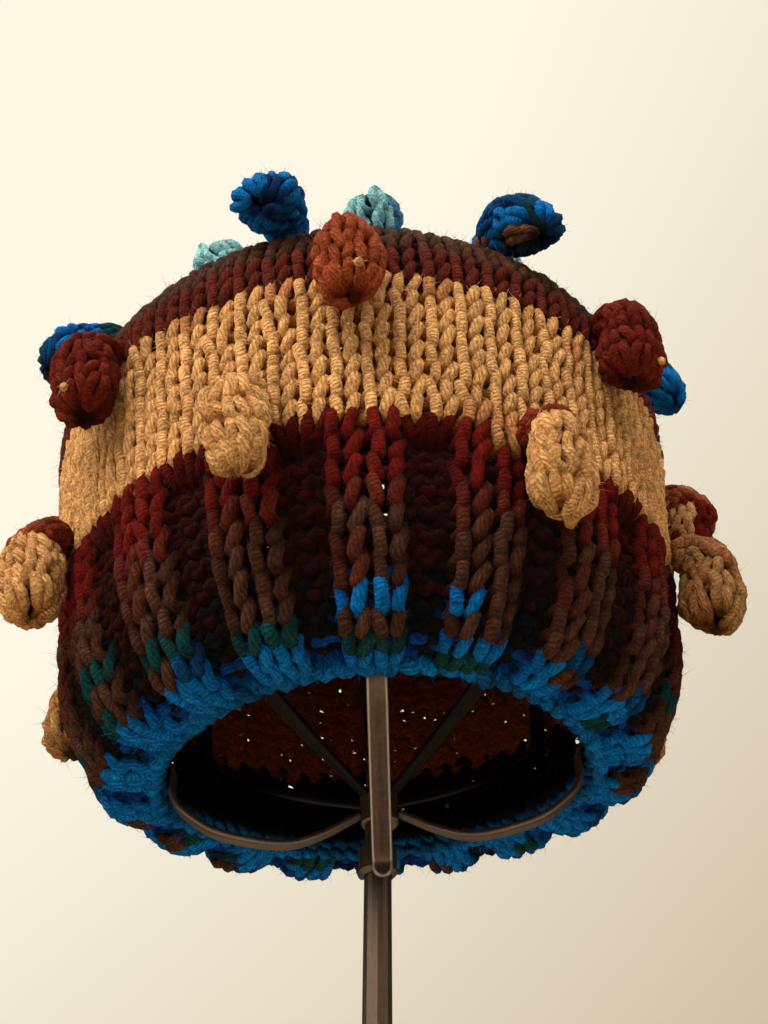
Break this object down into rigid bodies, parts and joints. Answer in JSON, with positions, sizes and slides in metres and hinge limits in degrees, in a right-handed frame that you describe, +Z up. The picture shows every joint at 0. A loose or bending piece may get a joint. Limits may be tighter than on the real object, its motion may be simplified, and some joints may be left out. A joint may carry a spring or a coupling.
{
  "type": "bobble-pointed knit hat on a metal hat stand",
  "caption": "Round slouchy knit hat with a ribbed brim, striped bands and drooping knitted bobbles, held out by bowed metal strips on a post with a round base.",
  "frame": {"origin": "on the floor, at the middle of the underside of the round base, under the post", "axes": "+Z up along the post; -Y is the side that faces the camera in the picture; +X is the viewer's right"},
  "size_m": [0.2529, 0.2532, 0.4692],
  "materials": {
    "ribbed_knit": "chunky ribbed wool",
    "plain_knit": "chunky plain-knit wool",
    "tan_yarn": "chunky wool",
    "rust_yarn": "chunky wool",
    "blue_yarn": "chunky wool",
    "aqua_yarn": "chunky wool",
    "bronzed_metal": "dark bronzed satin",
    "base_metal": "dark bronzed satin"
  },
  "bodies": {
    "root": {"ribbed_brim": "ribbed_knit", "crown": "plain_knit", "tan_bobble_1": "tan_yarn", "tan_bobble_2": "tan_yarn", "tan_bobble_3": "tan_yarn", "tan_bobble_4": "tan_yarn", "tan_bobble_5": "tan_yarn", "tan_bobble_6": "tan_yarn", "tan_bobble_7": "tan_yarn", "tan_bobble_8": "tan_yarn", "rust_bobble_1": "rust_yarn", "rust_bobble_2": "rust_yarn", "rust_bobble_3": "rust_yarn", "rust_bobble_4": "rust_yarn", "rust_bobble_5": "rust_yarn", "rust_bobble_6": "rust_yarn", "rust_bobble_7": "rust_yarn", "rust_bobble_8": "rust_yarn", "blue_bobble_1": "blue_yarn", "blue_bobble_2": "blue_yarn", "blue_bobble_3": "blue_yarn", "blue_bobble_4": "blue_yarn", "blue_bobble_5": "blue_yarn", "blue_bobble_6": "blue_yarn", "blue_bobble_7": "blue_yarn", "blue_bobble_8": "blue_yarn", "aqua_bobble_1": "aqua_yarn", "aqua_bobble_2": "aqua_yarn", "aqua_bobble_3": "aqua_yarn", "aqua_bobble_4": "aqua_yarn", "aqua_bobble_5": "aqua_yarn", "aqua_bobble_6": "aqua_yarn", "aqua_bobble_7": "aqua_yarn", "aqua_bobble_8": "aqua_yarn", "post": "bronzed_metal", "collar": "bronzed_metal", "lower_hub": "bronzed_metal", "top_hub": "bronzed_metal", "front_strip": "bronzed_metal", "low_strip_1": "bronzed_metal", "low_strip_2": "bronzed_metal", "low_strip_3": "bronzed_metal", "high_strip_1": "bronzed_metal", "high_strip_2": "bronzed_metal", "high_strip_3": "bronzed_metal", "high_strip_4": "bronzed_metal", "base_plate": "base_metal", "post_socket": "base_metal"}
  },
  "joints": []
}
